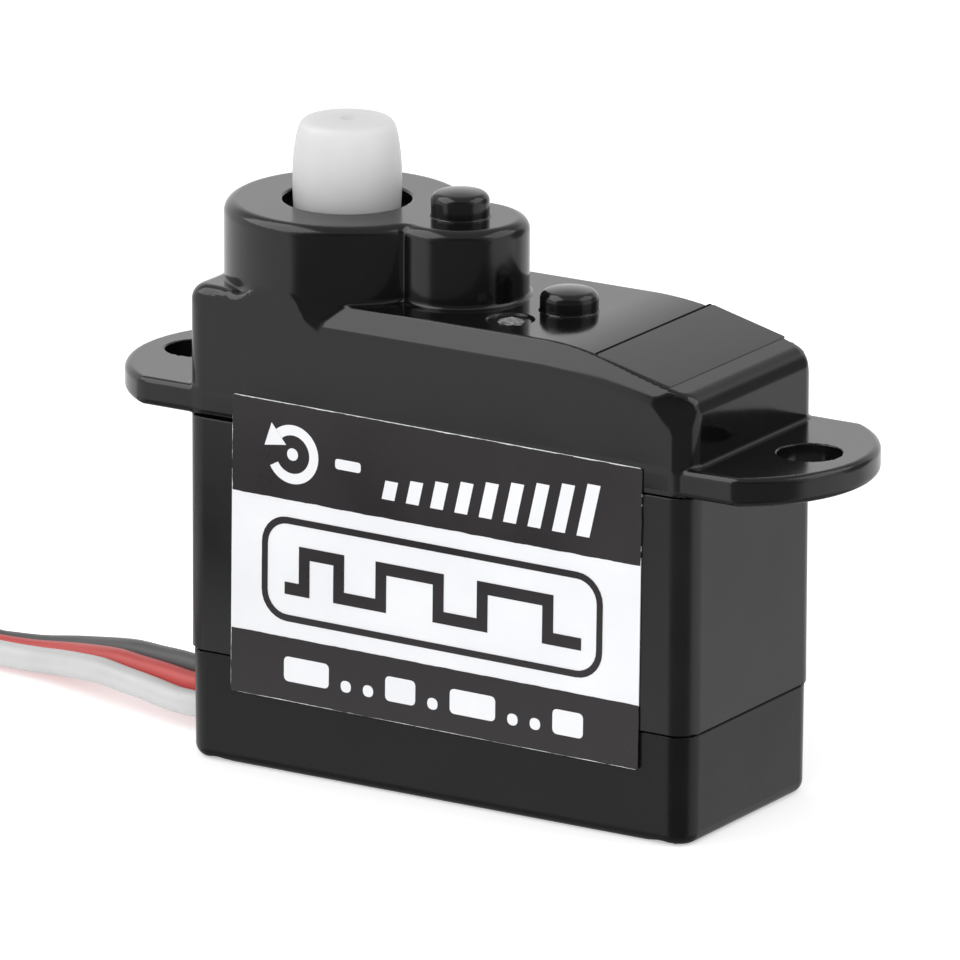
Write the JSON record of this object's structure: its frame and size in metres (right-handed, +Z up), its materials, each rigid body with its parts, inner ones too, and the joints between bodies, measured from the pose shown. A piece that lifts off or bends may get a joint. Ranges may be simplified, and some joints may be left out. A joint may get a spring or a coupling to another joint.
{
  "type": "servo motor",
  "caption": "Ultra-micro servo motor: slim box case with screw ears, output shaft on a raised boss, and a flat ribbon lead with its connector.",
  "frame": {"origin": "centre of the case's footprint on the base's underside", "axes": "+X along the case, away from the output shaft; +Y across it, away from the label; +Z up along the output shaft"},
  "size_m": [0.0508, 0.0314, 0.0184],
  "materials": {
    "case_gloss": "glossy black moulded plastic",
    "case_satin": "satin black moulded plastic",
    "output_nylon": "milky white nylon",
    "gear_nylon": "ivory nylon",
    "steel": "bright steel",
    "dark_steel": "blackened steel",
    "copper": "copper",
    "contact_brass": "tinned brass",
    "board": "green solder mask on glass fibre",
    "dark_plastic": "dark moulded plastic",
    "ceramic": "ceramic",
    "label_film": "printed film, black and white bands",
    "lead_insulation": "soft insulation, dark grey, red and white wires side by side",
    "tie_plastic": "black plastic-coated tie",
    "connector_plastic": "black moulded plastic"
  },
  "bodies": {
    "case": {"top_case": "case_gloss", "middle_case": "case_satin", "bottom_cap": "case_satin", "front_label": "label_film", "case_screw_1": "dark_steel", "case_screw_2": "dark_steel", "case_screw_3": "dark_steel", "case_screw_4": "dark_steel", "gear_pin_1": "steel", "gear_pin_2": "steel", "motor_can": "steel", "motor_end_cap": "dark_plastic", "motor_magnet_1": "dark_steel", "motor_magnet_2": "dark_steel", "motor_brush_1": "copper", "motor_brush_2": "copper", "motor_terminal_1": "copper", "motor_terminal_2": "copper", "pot_housing": "dark_plastic", "pot_base": "board", "pot_track": "dark_plastic", "pot_pin_1": "copper", "pot_pin_2": "copper", "pot_pin_3": "copper", "circuit_board": "board", "controller_chip": "dark_plastic", "driver_chip": "dark_plastic", "capacitor": "ceramic", "resistor_1": "dark_plastic", "resistor_2": "dark_plastic", "resistor_3": "dark_plastic", "wire_end_1": "copper", "wire_end_2": "copper", "wire_end_3": "copper", "connector_contact_1": "contact_brass", "connector_contact_2": "contact_brass", "connector_contact_3": "contact_brass", "lead_ribbon": "lead_insulation", "lead_coil": "lead_insulation", "lead_tail": "lead_insulation", "lead_tie": "tie_plastic", "connector_housing": "connector_plastic"},
    "output": {"output_gear": "output_nylon", "pot_rotor": "gear_nylon", "pot_wiper": "copper"},
    "fourth_gear": {"fourth_gear": "gear_nylon"},
    "third_gear": {"third_gear": "gear_nylon"},
    "second_gear": {"second_gear": "gear_nylon"},
    "first_gear": {"first_gear": "gear_nylon"},
    "motor_rotor": {"motor_shaft": "steel", "motor_armature": "steel", "motor_winding_1": "copper", "motor_winding_2": "copper", "motor_winding_3": "copper", "motor_commutator": "copper", "motor_pinion": "gear_nylon"}
  },
  "joints": [
    {"name": "output_turn", "type": "hinge", "parent": "case", "child": "output", "pos_m": [-0.00506, 0, 0], "axis": [0, 0, 1], "range_deg": [-90, 90]},
    {"name": "fourth_gear_turn", "type": "hinge", "parent": "case", "child": "fourth_gear", "pos_m": [-0.0013, 0, 0], "axis": [0, 0, 1], "range_deg": [-210.7, 210.7]},
    {"name": "third_gear_turn", "type": "hinge", "parent": "case", "child": "third_gear", "pos_m": [0.0023, 0, 0], "axis": [0, 0, 1], "range_deg": [-547, 547]},
    {"name": "second_gear_turn", "type": "hinge", "parent": "case", "child": "second_gear", "pos_m": [-0.0013, 0, 0], "axis": [0, 0, 1], "range_deg": [-1421.5, 1421.5]},
    {"name": "first_gear_turn", "type": "hinge", "parent": "case", "child": "first_gear", "pos_m": [0.0023, 0, 0], "axis": [0, 0, 1], "range_deg": [-3695.2, 3695.2]},
    {"name": "motor_rotor_turn", "type": "hinge", "parent": "case", "child": "motor_rotor", "pos_m": [0.00485, 0, 0], "axis": [0, 0, 1], "range_deg": [-12008.1, 12008.1]}
  ],
  "couplings": [
    {"joint": "fourth_gear_turn", "follows": "output_turn", "ratio": -2.3333},
    {"joint": "third_gear_turn", "follows": "output_turn", "ratio": 6.0667},
    {"joint": "second_gear_turn", "follows": "output_turn", "ratio": -15.773},
    {"joint": "first_gear_turn", "follows": "output_turn", "ratio": 41.011},
    {"joint": "motor_rotor_turn", "follows": "output_turn", "ratio": -133.28}
  ]
}
